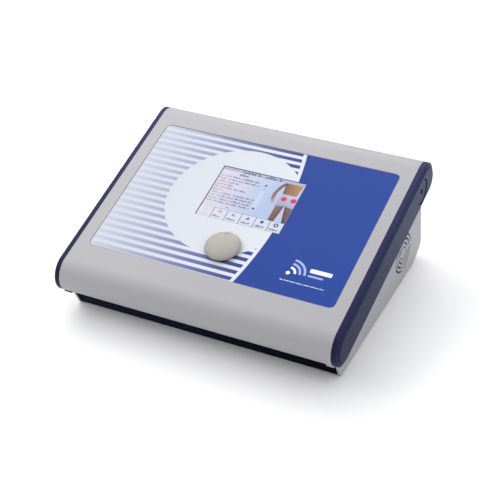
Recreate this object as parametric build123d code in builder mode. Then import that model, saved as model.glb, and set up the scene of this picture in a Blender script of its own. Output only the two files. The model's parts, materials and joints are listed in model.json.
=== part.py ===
"""Tabletop ultrasound therapy device: a sloped console on a wedge-shaped base.

All lengths are millimetres.  +Z is up, +X is the operator's right and the operator stands at -Y.
The origin is on the supporting surface, under the middle of the bounding box.

Two frames are used.  The base is drawn in X, Y, Z.  The console is drawn in the panel frame:
x to the right, v up the slope of the front panel and n square out of it, with (0, 0, 0) at the
middle of the printed overlay.
"""

import os
from math import cos, radians, sin, sqrt

from build123d import *

os.makedirs("parts", exist_ok=True)

# ---------------------------------------------------------------- driving dimensions
TILT = 14.33  # slope of the front panel, degrees
PANEL_H = 113.4  # height of the overlay's middle above the supporting surface
PANEL_Y = -2.435  # places the bounding box's middle on Y = 0

COVER_HALF = 181.9  # half width of the cover between the end caps
CAP_RIM = 188.3  # outer edge of the cap's rim
CAP_FACE = 191.0  # cap's flat outer face
CAP_BEVEL = 5.7  # how far the flat face sits in from the rim

CON_FRONT = -164.5  # console profile: front end, along v
CON_REAR = 156.0
CON_T = 49.0  # thickness, from n = 0 down
R_NOSE = 24.5  # half of CON_T, so the nose is a half round
R_REAR_UP = 27.0
R_REAR_LOW = 20.0
SKIN = 3.0  # wall of the moulded cover

OVERLAY = (330.0, 220.4)
OVERLAY_R = 7.0
OVERLAY_T = 0.6
RECESS_D = 1.0

LCD_V = 19.3  # middle of the display along the slope
VIEW = (115.8, 87.0)  # window in the overlay
GLASS = (122.0, 93.0, 1.4)
LCD = (130.0, 102.0, 6.5)

KNOB_XV = (1.75, -65.5)
KNOB_R = 22.6
KNOB_BOTTOM = 2.4
KNOB_WAIST = 3.1  # where the dome is widest
KNOB_TOP = 10.5
SHAFT_R = 3.0
PUSH_TRAVEL = 0.6

SOCKET_V, SOCKET_N = 112.0, -24.0
SOCKET_RING_R = 16.4
JACK_R = 3.25
SLEEVE_R = 3.85  # black sleeve showing in the bezel
BEZEL_SINK = 0.8  # how far the bezel sits below the cap's face

BASE_HALF = 180.9
WALL = 3.0
BASE_Z = 1.5  # underside of the tray; the feet fill the rest
STRIP_Y = -123.4  # outer face of the navy front strip
REAR_Y = 134.0  # outer face of the rear panel
GRILLE_Y, GRILLE_Z = 77.6, 43.5
GRILLE_RINGS = (8.0, 13.6, 19.4, 25.3)
GRILLE_SLOT = 2.7

INLET_X, INLET_Z = -115.0, 50.0

C, S = cos(radians(TILT)), sin(radians(TILT))
PANEL = Plane(origin=(0, PANEL_Y, PANEL_H), x_dir=(1, 0, 0), z_dir=(0, -S, C))
SIDE = Plane(origin=(0, PANEL_Y, PANEL_H), x_dir=(0, C, S), z_dir=(1, 0, 0))


def world(x, v, n):
    """Panel coordinates to X, Y, Z."""
    return (x, PANEL_Y + v * C - n * S, PANEL_H + v * S + n * C)


def save(part, name):
    part.label = name
    export_step(part, f"parts/{name}.step")


def console_profile(inset):
    """The console's end profile, in (v, n), drawn in by inset all round."""
    with BuildSketch() as profile:
        with BuildLine():
            Line((CON_FRONT + R_NOSE, -inset), (CON_REAR - R_REAR_UP, -inset))
            CenterArc((CON_REAR - R_REAR_UP, -R_REAR_UP), R_REAR_UP - inset, 90, -90)
            Line((CON_REAR - inset, -R_REAR_UP), (CON_REAR - inset, -CON_T + R_REAR_LOW))
            CenterArc((CON_REAR - R_REAR_LOW, -CON_T + R_REAR_LOW), R_REAR_LOW - inset, 0, -90)
            Line((CON_REAR - R_REAR_LOW, -CON_T + inset), (CON_FRONT + R_NOSE, -CON_T + inset))
            CenterArc((CON_FRONT + R_NOSE, -R_NOSE), R_NOSE - inset, 270, -180)
        make_face()
    return profile.sketch_local


OUTER = console_profile(0)
INNER = console_profile(SKIN)
SPIGOT = console_profile(SKIN + 0.1)
SPIGOT_IN = console_profile(SKIN + 2.3)
FACE_OUT = console_profile(CAP_BEVEL)
GROOVE_OUT = console_profile(CAP_BEVEL - 0.5)
GROOVE_IN = console_profile(CAP_BEVEL + 0.3)

OPEN_FRONT, OPEN_REAR = -128.0, 124.0  # the cover is open below between these v

# ================================================================ console shells
LUG_A = radians(221.7)  # direction of the nose lugs from the nose's centre, in (v, n)
LUG_C = (CON_FRONT + R_NOSE + 20.3 * cos(LUG_A), -R_NOSE + 20.3 * sin(LUG_A))
LCD_POSTS = [(x, LCD_V + d) for x in (-72.0, 72.0) for d in (-38.0, 38.0)]
SHELL_SCREWS = [(x, v) for x in (-140.0, 0.0, 140.0) for v in (-133.0, 129.5)]

with BuildPart() as top_cover:
    # bent skin: panel, half-round nose and rounded back
    with BuildSketch(SIDE):
        add(OUTER)
    extrude(amount=COVER_HALF, both=True)
    # two half-round lugs hang under the ends of the nose
    for x0 in (-COVER_HALF, COVER_HALF - 8.5):
        with BuildSketch(SIDE.offset(x0)):
            with Locations(LUG_C):
                Circle(6.4)
        extrude(amount=8.5)
    with BuildSketch(SIDE.offset(-COVER_HALF - 1)):
        add(INNER)
    extrude(amount=2 * COVER_HALF + 2, mode=Mode.SUBTRACT)
    with BuildSketch(PANEL.offset(-CON_T - 1)):
        with Locations((0, (OPEN_FRONT + OPEN_REAR) / 2)):
            Rectangle(2 * COVER_HALF + 10, OPEN_REAR - OPEN_FRONT)
    extrude(amount=SKIN + 1.5, mode=Mode.SUBTRACT)
    # posts for the display bracket
    with BuildSketch(PANEL.offset(-SKIN + 0.5)):
        with Locations(*LCD_POSTS):
            Circle(3.6)
    extrude(amount=-7.2)
    # recess for the overlay
    with BuildSketch(PANEL):
        RectangleRounded(OVERLAY[0] + 0.8, OVERLAY[1] + 0.8, OVERLAY_R + 0.4)
    extrude(amount=-RECESS_D, mode=Mode.SUBTRACT)
    with BuildSketch(PANEL):
        with Locations((0, LCD_V)):
            Rectangle(GLASS[0] + 0.6, GLASS[1] + 0.6)
        with Locations(KNOB_XV):
            Circle(3.8)
    extrude(amount=-SKIN - 0.5, mode=Mode.SUBTRACT)
    with BuildSketch(PANEL.offset(-SKIN - 8)):
        with Locations(*LCD_POSTS):
            Circle(1.5)
    extrude(amount=6.0, mode=Mode.SUBTRACT)
    with BuildSketch(PANEL.offset(-CON_T - 1)):
        with Locations(*SHELL_SCREWS):
            Circle(1.7)
    extrude(amount=SKIN + 1.5, mode=Mode.SUBTRACT)
save(top_cover.part, "top_cover")

# the tray's fixing bosses: x, y and the height where boss and post meet
BOSSES = [(-167.0, -98.0, 20.0), (167.0, -98.0, 20.0), (-167.0, 119.0, 40.0), (167.0, 119.0, 40.0)]
PLATE_LOW, PLATE_T = -CON_T + SKIN, 2.5
MB_STANDOFFS = [(x, v) for x in (-98.0, 98.0) for v in (-46.0, 84.0)]

with BuildPart() as lower_shell:
    # vertical screw bosses reaching down into the base
    for bx, by, bz in BOSSES:
        with BuildSketch(Plane.XY.offset(bz)):
            with Locations((bx, by)):
                Circle(5.0)
        extrude(amount=90)
    with BuildSketch(SIDE.offset(-200)):
        with Locations((0, PLATE_LOW + 60)):
            Rectangle(500, 120)
    extrude(amount=400, mode=Mode.SUBTRACT)
    # flat plate, resting on the cover's two turned-in flanges
    with BuildSketch(PANEL.offset(PLATE_LOW)):
        with Locations((0, -2)):
            Rectangle(347, 272)
        # cable openings
        with Locations((132, 78)):
            RectangleRounded(60, 62, 6, mode=Mode.SUBTRACT)
        with Locations((-122, 30)):
            RectangleRounded(44, 60, 6, mode=Mode.SUBTRACT)
        with Locations(*SHELL_SCREWS):
            Circle(1.7, mode=Mode.SUBTRACT)
    extrude(amount=PLATE_T)
    for bx, by, bz in BOSSES:
        with BuildSketch(Plane.XY.offset(bz - 1)):
            with Locations((bx, by)):
                Circle(1.75)
        extrude(amount=15, mode=Mode.SUBTRACT)
save(lower_shell.part, "lower_shell")

with BuildPart() as shell_screws:
    with BuildSketch(PANEL.offset(PLATE_LOW + PLATE_T)):
        with Locations(*SHELL_SCREWS):
            Circle(2.9)
    extrude(amount=1.9)
    with BuildSketch(PANEL.offset(-CON_T + 0.4)):
        with Locations(*SHELL_SCREWS):
            Circle(1.6)
    extrude(amount=SKIN + PLATE_T - 0.3)
save(shell_screws.part, "shell_screws")


# ---- end caps: rim, bevel, flat face, and a spigot that plugs into the cover
for sign, cap_name in ((-1, "end_cap_left"), (1, "end_cap_right")):
    with BuildPart() as end_cap:
        with BuildSketch(SIDE.offset(sign * COVER_HALF)):
            add(OUTER)
        extrude(amount=sign * (CAP_RIM - COVER_HALF))
        with BuildSketch(SIDE.offset(sign * CAP_RIM)):
            add(OUTER)
        with BuildSketch(SIDE.offset(sign * CAP_FACE)):
            add(FACE_OUT)
        loft(ruled=True)
        with BuildSketch(SIDE.offset(sign * (COVER_HALF - 8))):
            add(SPIGOT)
        extrude(amount=sign * 9)
        with BuildSketch(SIDE.offset(sign * (COVER_HALF - 9))):
            add(SPIGOT_IN)
        extrude(amount=sign * (CAP_FACE - 3.0 - COVER_HALF + 9), mode=Mode.SUBTRACT)
        # fine groove that frames the flat face
        with BuildSketch(SIDE.offset(sign * (CAP_FACE - 0.6))):
            add(GROOVE_OUT)
            add(GROOVE_IN, mode=Mode.SUBTRACT)
        extrude(amount=sign * 2, mode=Mode.SUBTRACT)
        if sign > 0:
            # round hole for the handpiece socket's bezel
            with BuildSketch(SIDE.offset(CAP_FACE - 4)):
                with Locations((SOCKET_V, SOCKET_N)):
                    Circle(SOCKET_RING_R + 0.8)
            extrude(amount=6, mode=Mode.SUBTRACT)
    save(end_cap.part, cap_name)

# ---- handpiece socket, set in the right cap
with BuildPart() as socket_bezel:
    with BuildSketch(SIDE.offset(CAP_FACE - 5.0)):
        with Locations((SOCKET_V, SOCKET_N)):
            Circle(18.4)
    extrude(amount=1.9)
    with BuildSketch(SIDE.offset(CAP_FACE - 5.0)):
        with Locations((SOCKET_V, SOCKET_N)):
            Circle(SOCKET_RING_R)
    extrude(amount=5.0 - BEZEL_SINK)
    chamfer(faces().filter_by(Plane(origin=(0, 0, 0), z_dir=(1, 0, 0))).sort_by(Axis.X)[-1].edges(), 0.5)
    with BuildSketch(SIDE.offset(CAP_FACE - 6.0)):
        with Locations((SOCKET_V, SOCKET_N)):
            Circle(SLEEVE_R + 0.1)
    extrude(amount=8, mode=Mode.SUBTRACT)
save(socket_bezel.part, "socket_bezel")

with BuildPart() as socket_body:
    with BuildSketch(SIDE.offset(CAP_FACE - 27.0)):
        with Locations((SOCKET_V, SOCKET_N)):
            Circle(10.5)
    extrude(amount=22.0)
    with BuildSketch(SIDE.offset(CAP_FACE - 8.0)):
        with Locations((SOCKET_V, SOCKET_N)):
            Circle(14.0)
    extrude(amount=3.0)
    # sleeve that lines the bezel's hole
    with BuildSketch(SIDE.offset(CAP_FACE - 6.0)):
        with Locations((SOCKET_V, SOCKET_N)):
            Circle(SLEEVE_R)
    extrude(amount=6.0 - BEZEL_SINK - 0.4)
    with BuildSketch(SIDE.offset(CAP_FACE - 19.0)):
        with Locations((SOCKET_V, SOCKET_N)):
            Circle(JACK_R)
    extrude(amount=20, mode=Mode.SUBTRACT)
    # seat of the contact spring, and the solder tail's way out
    with BuildSketch(SIDE.offset(CAP_FACE - 23.0)):
        with Locations((SOCKET_V, SOCKET_N)):
            Circle(4.6)
    extrude(amount=4.0, mode=Mode.SUBTRACT)
    with BuildSketch(SIDE.offset(CAP_FACE - 28.0)):
        with Locations((SOCKET_V, SOCKET_N)):
            Circle(1.6)
    extrude(amount=6, mode=Mode.SUBTRACT)
save(socket_body.part, "socket_body")

with BuildPart() as socket_contact:
    with BuildSketch(SIDE.offset(CAP_FACE - 22.9)):
        with Locations((SOCKET_V, SOCKET_N)):
            Circle(4.5)
            Circle(JACK_R, mode=Mode.SUBTRACT)
    extrude(amount=3.8)
    with BuildSketch(SIDE.offset(CAP_FACE - 22.9)):
        with Locations((SOCKET_V, SOCKET_N)):
            Circle(3.6)
    extrude(amount=0.8)
    with BuildSketch(SIDE.offset(CAP_FACE - 29.5)):
        with Locations((SOCKET_V, SOCKET_N)):
            Circle(1.5)
    extrude(amount=6.8)
save(socket_contact.part, "socket_contact")

# ================================================================ front panel
with BuildPart() as front_overlay:
    with BuildSketch(PANEL.offset(-RECESS_D)):
        RectangleRounded(OVERLAY[0], OVERLAY[1], OVERLAY_R)
        with Locations((0, LCD_V)):
            RectangleRounded(VIEW[0], VIEW[1], 0.8, mode=Mode.SUBTRACT)
        with Locations(KNOB_XV):
            Circle(8.0, mode=Mode.SUBTRACT)
    extrude(amount=OVERLAY_T)
save(front_overlay.part, "front_overlay")

with BuildPart() as touch_panel:
    with BuildSketch(PANEL.offset(-RECESS_D - 0.1)):
        with Locations((0, LCD_V)):
            RectangleRounded(GLASS[0], GLASS[1], 1.0)
    extrude(amount=-GLASS[2])
save(touch_panel.part, "touch_panel")

LCD_TOP = -SKIN - 0.1
with BuildPart() as lcd_module:
    with BuildSketch(PANEL.offset(LCD_TOP)):
        with Locations((0, LCD_V)):
            RectangleRounded(LCD[0], LCD[1], 1.5)
    extrude(amount=-LCD[2])
    # folded metal bezel: the glass sits a little below it
    with BuildSketch(PANEL.offset(LCD_TOP)):
        with Locations((0, LCD_V)):
            Rectangle(118.6, 89.8)
    extrude(amount=-0.4, mode=Mode.SUBTRACT)
    # driver strip on the back
    with BuildSketch(PANEL.offset(LCD_TOP - LCD[2])):
        with Locations((0, LCD_V - 38)):
            Rectangle(96, 12)
    extrude(amount=-1.6)
save(lcd_module.part, "lcd_module")

BR_TOP = -SKIN + 0.5 - 7.2
with BuildPart() as lcd_bracket:
    with BuildSketch(PANEL.offset(BR_TOP)):
        with Locations((0, LCD_V)):
            RectangleRounded(154, 112, 4)
            Rectangle(108, 60, mode=Mode.SUBTRACT)
        with Locations((0, LCD_V - 38)):
            Rectangle(98, 14, mode=Mode.SUBTRACT)
        with Locations(*LCD_POSTS):
            Circle(1.7, mode=Mode.SUBTRACT)
    extrude(amount=-1.2)
    # stiffening flanges turned down along both short sides
    for sx in (-76.4, 76.4):
        with BuildSketch(PANEL.offset(BR_TOP)):
            with Locations((sx, LCD_V)):
                Rectangle(1.2, 100)
        extrude(amount=-7.0)
save(lcd_bracket.part, "lcd_bracket")

with BuildPart() as lcd_screws:
    with BuildSketch(PANEL.offset(BR_TOP - 1.2)):
        with Locations(*LCD_POSTS):
            Circle(2.8)
    extrude(amount=-1.8)
    with BuildSketch(PANEL.offset(BR_TOP - 1.6)):
        with Locations(*LCD_POSTS):
            Circle(1.4)
    extrude(amount=5.6)
save(lcd_screws.part, "lcd_screws")

# ---- push-and-turn control
with BuildPart() as encoder_body:
    with BuildSketch(PANEL.offset(-SKIN)):
        with Locations(KNOB_XV):
            RectangleRounded(14.0, 14.0, 0.8)
    extrude(amount=-8.5)
    with BuildSketch(PANEL.offset(-SKIN - 1)):
        with Locations(KNOB_XV):
            Circle(3.65)
    extrude(amount=5.6)
    with BuildSketch(PANEL.offset(-SKIN - 8.6)):
        with Locations(KNOB_XV):
            Circle(5.2)
    extrude(amount=6.6, mode=Mode.SUBTRACT)
    with BuildSketch(PANEL.offset(-SKIN - 3)):
        with Locations(KNOB_XV):
            Circle(SHAFT_R + 0.05)
    extrude(amount=10, mode=Mode.SUBTRACT)
save(encoder_body.part, "encoder_body")

with BuildPart() as encoder_nut:
    with BuildSketch(PANEL.offset(-RECESS_D)):
        with Locations(KNOB_XV):
            RegularPolygon(5.8, 6)
            Circle(3.75, mode=Mode.SUBTRACT)
    extrude(amount=2.0)
save(encoder_nut.part, "encoder_nut")

with BuildPart() as encoder_board:
    with BuildSketch(PANEL.offset(-SKIN - 8.5)):
        with Locations(KNOB_XV):
            RectangleRounded(32.0, 24.0, 2.0)
    extrude(amount=-1.6)
save(encoder_board.part, "encoder_board")

with BuildPart() as tact_switch:
    with BuildSketch(PANEL.offset(-SKIN - 8.5)):
        with Locations(KNOB_XV):
            RectangleRounded(6.0, 6.0, 0.5)
    extrude(amount=1.3)
    with BuildSketch(PANEL.offset(-SKIN - 8.5)):
        with Locations(KNOB_XV):
            Circle(1.6)
    extrude(amount=1.8)
save(tact_switch.part, "tact_switch")

PLUNGER_TOP = -SKIN - 4.6
with BuildPart() as push_plunger:
    with BuildSketch(PANEL.offset(PLUNGER_TOP)):
        with Locations(KNOB_XV):
            Circle(4.8)
    extrude(amount=-1.1)
save(push_plunger.part, "push_plunger")

with BuildPart() as encoder_shaft:
    with BuildSketch(PANEL.offset(PLUNGER_TOP + 0.3)):
        with Locations(KNOB_XV):
            Circle(SHAFT_R)
    extrude(amount=8.2 - (PLUNGER_TOP + 0.3))
    # shoulder that keeps the shaft from pulling out
    with BuildSketch(PANEL.offset(PLUNGER_TOP + 0.3)):
        with Locations(KNOB_XV):
            Circle(4.4)
    extrude(amount=1.1)
    # the flat that drives the knob
    with BuildSketch(PANEL.offset(3.6)):
        with Locations((KNOB_XV[0] + 3.6, KNOB_XV[1])):
            Rectangle(2.6, 8)
    extrude(amount=8, mode=Mode.SUBTRACT)
save(encoder_shaft.part, "encoder_shaft")

KN = Plane(
    origin=world(KNOB_XV[0], KNOB_XV[1], 0), x_dir=(1, 0, 0), z_dir=(0, -C, -S)
)  # half section of the knob: local x is radius, local y is n
with BuildPart() as control_knob:
    with BuildSketch(KN):
        with BuildLine():
            Line((0, KNOB_TOP), (0, KNOB_BOTTOM))
            Line((0, KNOB_BOTTOM), (KNOB_R - 0.5, KNOB_BOTTOM))
            Line((KNOB_R - 0.5, KNOB_BOTTOM), (KNOB_R, KNOB_WAIST))
            EllipticalCenterArc(
                (0, KNOB_WAIST), KNOB_R, KNOB_TOP - KNOB_WAIST, arc_size=90
            )
        make_face()
    revolve(axis=Axis(origin=world(KNOB_XV[0], KNOB_XV[1], 0), direction=(0, -S, C)))
    # hollow under the dome, around a hub with a D bore
    with BuildSketch(PANEL.offset(KNOB_BOTTOM - 1)):
        with Locations(KNOB_XV):
            Circle(17.5)
            Circle(6.5, mode=Mode.SUBTRACT)
    extrude(amount=1 + 2.2, mode=Mode.SUBTRACT)
    with BuildSketch(PANEL.offset(KNOB_BOTTOM - 1)):
        with Locations(KNOB_XV):
            Circle(6.6)
    extrude(amount=1 + 0.6, mode=Mode.SUBTRACT)
    with BuildSketch(PANEL.offset(KNOB_BOTTOM - 1)):
        with Locations(KNOB_XV):
            Circle(SHAFT_R + 0.02)
        with Locations((KNOB_XV[0] + 3.62, KNOB_XV[1])):
            Rectangle(2.58, 8, mode=Mode.SUBTRACT)
    extrude(amount=8.35 - KNOB_BOTTOM + 1, mode=Mode.SUBTRACT)
    with BuildSketch(PANEL.offset(KNOB_BOTTOM - 1)):
        with Locations(KNOB_XV):
            Circle(SHAFT_R + 0.02)
    extrude(amount=1 + 1.3, mode=Mode.SUBTRACT)
    # fingertip dimple near the rim, on the far side
    with Locations(Location(world(KNOB_XV[0] + 0.32, KNOB_XV[1] + 18.16, 11.78))):
        Sphere(6.0, mode=Mode.SUBTRACT)
save(control_knob.part, "control_knob")

# ================================================================ console electronics
MB_N = -35.5  # underside of the main board
with BuildPart() as board_standoffs:
    with BuildSketch(PANEL.offset(PLATE_LOW + PLATE_T)):
        with Locations(*MB_STANDOFFS):
            RegularPolygon(3.4, 6)
    extrude(amount=MB_N - PLATE_LOW - PLATE_T)
save(board_standoffs.part, "board_standoffs")

with BuildPart() as main_board:
    with BuildSketch(PANEL.offset(MB_N)):
        with Locations((0, 19)):
            RectangleRounded(208, 142, 3)
        with Locations(*MB_STANDOFFS):
            Circle(1.7, mode=Mode.SUBTRACT)
    extrude(amount=1.6)
save(main_board.part, "main_board")

with BuildPart() as board_screws:
    with BuildSketch(PANEL.offset(MB_N + 1.6)):
        with Locations(*MB_STANDOFFS):
            Circle(2.9)
    extrude(amount=1.8)
    with BuildSketch(PANEL.offset(MB_N)):
        with Locations(*MB_STANDOFFS):
            Circle(1.5)
    extrude(amount=2.0)
save(board_screws.part, "board_screws")

with BuildPart() as board_chips:
    for (cx, cv), (lx, lv), h in (
        ((-10, 32), (28, 28), 2.4),
        ((-48, 40), (18, 12), 1.2),
        ((-48, 20), (18, 12), 1.2),
        ((30, 42), (14, 14), 1.6),
        ((34, 10), (10, 8), 1.8),
        ((62, 40), (20, 8), 2.2),
    ):
        with BuildSketch(PANEL.offset(MB_N + 1.6)):
            with Locations((cx, cv)):
                Rectangle(lx, lv)
        extrude(amount=h)
save(board_chips.part, "board_chips")

with BuildPart() as board_capacitors:
    for (cx, cv), r, h in (
        ((72, 70), 5.0, 11.0),
        ((84, 62), 5.0, 11.0),
        ((60, 72), 4.0, 9.0),
        ((-82, 70), 4.0, 8.0),
        ((-82, 58), 4.0, 8.0),
        ((-70, -20), 3.2, 7.0),
    ):
        with BuildSketch(PANEL.offset(MB_N + 1.6)):
            with Locations((cx, cv)):
                Circle(r)
        extrude(amount=h)
save(board_capacitors.part, "board_capacitors")

RIBBON_V = -40.0
with BuildPart() as board_connectors:
    for (cx, cv), (lx, lv), h in (
        ((0, RIBBON_V), (44, 6), 5.0),
        ((60, -38), (16, 7), 7.0),
        ((-88, 24), (8, 26), 9.0),
        ((92, 26), (8, 22), 9.0),
    ):
        with BuildSketch(PANEL.offset(MB_N + 1.6)):
            with Locations((cx, cv)):
                Rectangle(lx, lv)
        extrude(amount=h)
save(board_connectors.part, "board_connectors")

with BuildPart() as buzzer:
    with BuildSketch(PANEL.offset(MB_N + 1.6)):
        with Locations((-60, -30)):
            Circle(6.5)
    extrude(amount=8.5)
    with BuildSketch(PANEL.offset(MB_N + 1.6 + 7.5)):
        with Locations((-60, -30)):
            Circle(1.3)
    extrude(amount=2, mode=Mode.SUBTRACT)
save(buzzer.part, "buzzer")

# flat ribbon from the display's lower edge down to its connector
with BuildPart() as display_ribbon:
    top_n, end_n = LCD_TOP - 4.0, MB_N + 1.6 + 5.0
    with BuildSketch(SIDE.offset(-19)):
        with BuildLine():
            FilletPolyline(
                (LCD_V - LCD[1] / 2, top_n),
                (RIBBON_V, top_n),
                (RIBBON_V, end_n),
                radius=3.0,
            )
            offset(amount=0.2)
        make_face()
        with Locations((LCD_V - LCD[1] / 2 + 1.0, top_n)):
            Rectangle(2.0, 2.0, mode=Mode.SUBTRACT)
        with Locations((RIBBON_V, end_n - 1.0)):
            Rectangle(2.0, 2.0, mode=Mode.SUBTRACT)
    extrude(amount=38)
save(display_ribbon.part, "display_ribbon")

# ================================================================ base
Y0 = PANEL_Y
BASE_FRONT = [  # side outline in (Y, Z) down the front, from the back of the top
    (139.4 + Y0, BASE_Z + 106.0),
    (-133.4 + Y0, BASE_Z + 60.0),
    (-133.6 + Y0, BASE_Z + 31.0),
    (-131.2 + Y0, BASE_Z + 22.0),
    (-122.0 + Y0, BASE_Z),
    (109.0 + Y0, BASE_Z),
]
BASE_HEEL = [  # the swept curve from the floor up to the back edge
    (109.0 + Y0, BASE_Z),
    (127.0 + Y0, BASE_Z + 3.5),
    (139.0 + Y0, BASE_Z + 9.9),
    (144.6 + Y0, BASE_Z + 15.2),
    (146.3 + Y0, BASE_Z + 21.0),
]
HEEL_IN = [  # the same curve, one wall further in
    (108.0 + Y0, BASE_Z + WALL),
    (126.0 + Y0, BASE_Z + 6.3),
    (137.2 + Y0, BASE_Z + 12.3),
    (142.6 + Y0, BASE_Z + 18.0),
]
STUDS = [(-25.0, -25.0), (-25.0, 25.0), (25.0, -25.0), (25.0, 25.0)]
FEET = [(x, y) for x in (-144.0, 144.0) for y in (-100.0, 92.0)]
PSU_POSTS = [(x, y) for x in (-158.0, -72.0) for y in (-44.0, 74.0)]
GEN_POSTS = [(x, y) for x in (-38.0, 104.0) for y in (-44.0, 82.0)]
PANEL_SCREWS = [(x, z) for x in (-173.0, 173.0) for z in (24.0, 76.0)]


# What the console takes up, less the 3 mm space below the plate between the cover's flanges.
with BuildPart() as console_space:
    with BuildSketch(SIDE.offset(-200)):
        add(OUTER)
        with Locations((0, 100 - R_NOSE)):
            Rectangle(500, 200)
        with Locations(((OPEN_FRONT + OPEN_REAR) / 2, -CON_T + SKIN / 2 - 0.5)):
            Rectangle(OPEN_REAR - OPEN_FRONT - 0.4, SKIN + 1.0, mode=Mode.SUBTRACT)
    extrude(amount=400)

# Four rings of arc slots, split by a cross.
with BuildSketch() as grille:
    for r in GRILLE_RINGS:
        gap = 57.29578 * (1.3 + GRILLE_SLOT / 2) / r
        for k in range(4):
            with BuildLine(mode=Mode.PRIVATE) as arc:
                CenterArc((0, 0), r, k * 90 + gap, 90 - 2 * gap)
            SlotArc(arc.edges()[0], GRILLE_SLOT)
GRILLE = grille.sketch_local


with BuildPart() as base_tray:
    with BuildSketch(Plane.YZ):
        with BuildLine():
            Polyline(*BASE_FRONT)
            Spline(*BASE_HEEL, tangents=[(1, 0), (-0.08, 1)])
            Line(BASE_HEEL[-1], BASE_FRONT[0])
        make_face()
    extrude(amount=BASE_HALF, both=True)
    # hollow it, leaving the floor, both side walls and a low lip along the back
    with BuildSketch(Plane.YZ.offset(-BASE_HALF + WALL)):
        with BuildLine():
            Spline(*HEEL_IN, tangents=[(1, 0), (0.35, 1)])
            Polyline(
                HEEL_IN[-1],
                (300, BASE_Z + 18.0),
                (300, 300),
                (-300, 300),
                (-300, BASE_Z + WALL),
                HEEL_IN[0],
            )
        make_face()
    extrude(amount=2 * (BASE_HALF - WALL), mode=Mode.SUBTRACT)
    # the floor stops behind the front strip
    with BuildSketch(Plane.XY.offset(-5)):
        with Locations((0, STRIP_Y + 2.6 - 20)):
            Rectangle(2 * (BASE_HALF - WALL), 40)
    extrude(amount=30, mode=Mode.SUBTRACT)
    # fixing posts, board posts and the rear panel's ribs
    for bx, by, bz in BOSSES:
        with BuildSketch(Plane.XY.offset(BASE_Z)):
            with Locations((bx, by)):
                Circle(6.0)
        extrude(amount=bz - BASE_Z)
    for sx in (-1, 1):
        with BuildSketch(Plane.XY.offset(BASE_Z + 8)):
            with Locations((sx * (BASE_HALF - WALL - 4.5), REAR_Y - 1.5 - 3.0)):
                Rectangle(10.0, 6.0)
        extrude(amount=78)
    # trim the posts to the heel's curve
    with BuildSketch(Plane.YZ.offset(-BASE_HALF - 1)):
        with BuildLine():
            Spline(*BASE_HEEL, tangents=[(1, 0), (-0.08, 1)])
            Polyline(BASE_HEEL[-1], (200, BASE_Z + 21.0), (200, -20), (109.0 + Y0, -20), BASE_HEEL[0])
        make_face()
    extrude(amount=2 * BASE_HALF + 2, mode=Mode.SUBTRACT)
    add(console_space.part, mode=Mode.SUBTRACT)
    # fan studs on the right wall
    with BuildSketch(Plane.YZ.offset(BASE_HALF - WALL + 0.5)):
        with Locations(*[(GRILLE_Y + a, GRILLE_Z + b) for a, b in STUDS]):
            Circle(1.9)
    extrude(amount=-12.5)
    with BuildSketch(Plane.YZ.offset(BASE_HALF - WALL - 12.5)):
        with Locations(*[(GRILLE_Y + a, GRILLE_Z + b) for a, b in STUDS]):
            Circle(1.0)
    extrude(amount=8, mode=Mode.SUBTRACT)
    # grilles: outlet over the fan, and its intake on the other side
    with BuildSketch(Plane.YZ.offset(BASE_HALF - WALL - 1)):
        with Locations((GRILLE_Y, GRILLE_Z)):
            add(GRILLE)
    extrude(amount=WALL + 2, mode=Mode.SUBTRACT)
    with BuildSketch(Plane.YZ.offset(-BASE_HALF - 1)):
        with Locations((GRILLE_Y, GRILLE_Z)):
            add(GRILLE)
    extrude(amount=WALL + 2, mode=Mode.SUBTRACT)
    # floor vents, foot recesses, screw ways
    with BuildSketch(Plane.XY):
        with Locations((-20, -84), (90, -84)):
            with GridLocations(9, 1, 8, 1):
                SlotOverall(34, 3.2, rotation=90)
    extrude(amount=10, mode=Mode.SUBTRACT)
    with BuildSketch(Plane.XY):
        with Locations(*FEET):
            Circle(9.2)
    extrude(amount=BASE_Z + 1.0, mode=Mode.SUBTRACT)
    for bx, by, bz in BOSSES:
        with BuildSketch(Plane.XY):
            with Locations((bx, by)):
                Circle(4.3)
        extrude(amount=bz - 6, mode=Mode.SUBTRACT)
        with BuildSketch(Plane.XY):
            with Locations((bx, by)):
                Circle(2.1)
        extrude(amount=bz + 2, mode=Mode.SUBTRACT)
    with BuildSketch(Plane.XZ.offset(-REAR_Y)):
        with Locations(*PANEL_SCREWS):
            Circle(1.55)
    extrude(amount=9, mode=Mode.SUBTRACT)
save(base_tray.part, "base_tray")

with BuildPart() as base_screws:
    for bx, by, bz in BOSSES:
        with BuildSketch(Plane.XY.offset(bz - 9.2)):
            with Locations((bx, by)):
                Circle(3.9)
        extrude(amount=3.2)
        with BuildSketch(Plane.XY.offset(bz - 6.5)):
            with Locations((bx, by)):
                Circle(1.7)
        extrude(amount=18)
        with BuildSketch(Plane.XY.offset(bz - 9.2)):
            with Locations((bx, by)):
                Rectangle(1.0, 5.0)
                Rectangle(5.0, 1.0)
        extrude(amount=1.6, mode=Mode.SUBTRACT)
save(base_screws.part, "base_screws")

with BuildPart() as rubber_feet:
    with BuildSketch(Plane.XY):
        with Locations(*FEET):
            Circle(9.0)
    extrude(amount=BASE_Z + 1.0)
    chamfer(edges().group_by(Axis.Z)[0], 0.5)
save(rubber_feet.part, "rubber_feet")

with BuildPart() as front_strip:
    with BuildSketch(Plane.YZ.offset(-BASE_HALF + WALL + 0.2)):
        with Locations((STRIP_Y + 1.25, BASE_Z + 30.1)):
            Rectangle(2.5, 60)
    extrude(amount=2 * (BASE_HALF - WALL - 0.2))
    # tabs that hook over the tray's floor
    with BuildSketch(Plane.XY.offset(BASE_Z + WALL)):
        with Locations((-110, STRIP_Y + 6.5), (0, STRIP_Y + 6.5), (110, STRIP_Y + 6.5)):
            Rectangle(24, 9)
    extrude(amount=2)
    add(console_space.part, mode=Mode.SUBTRACT)
save(front_strip.part, "front_strip")

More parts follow.
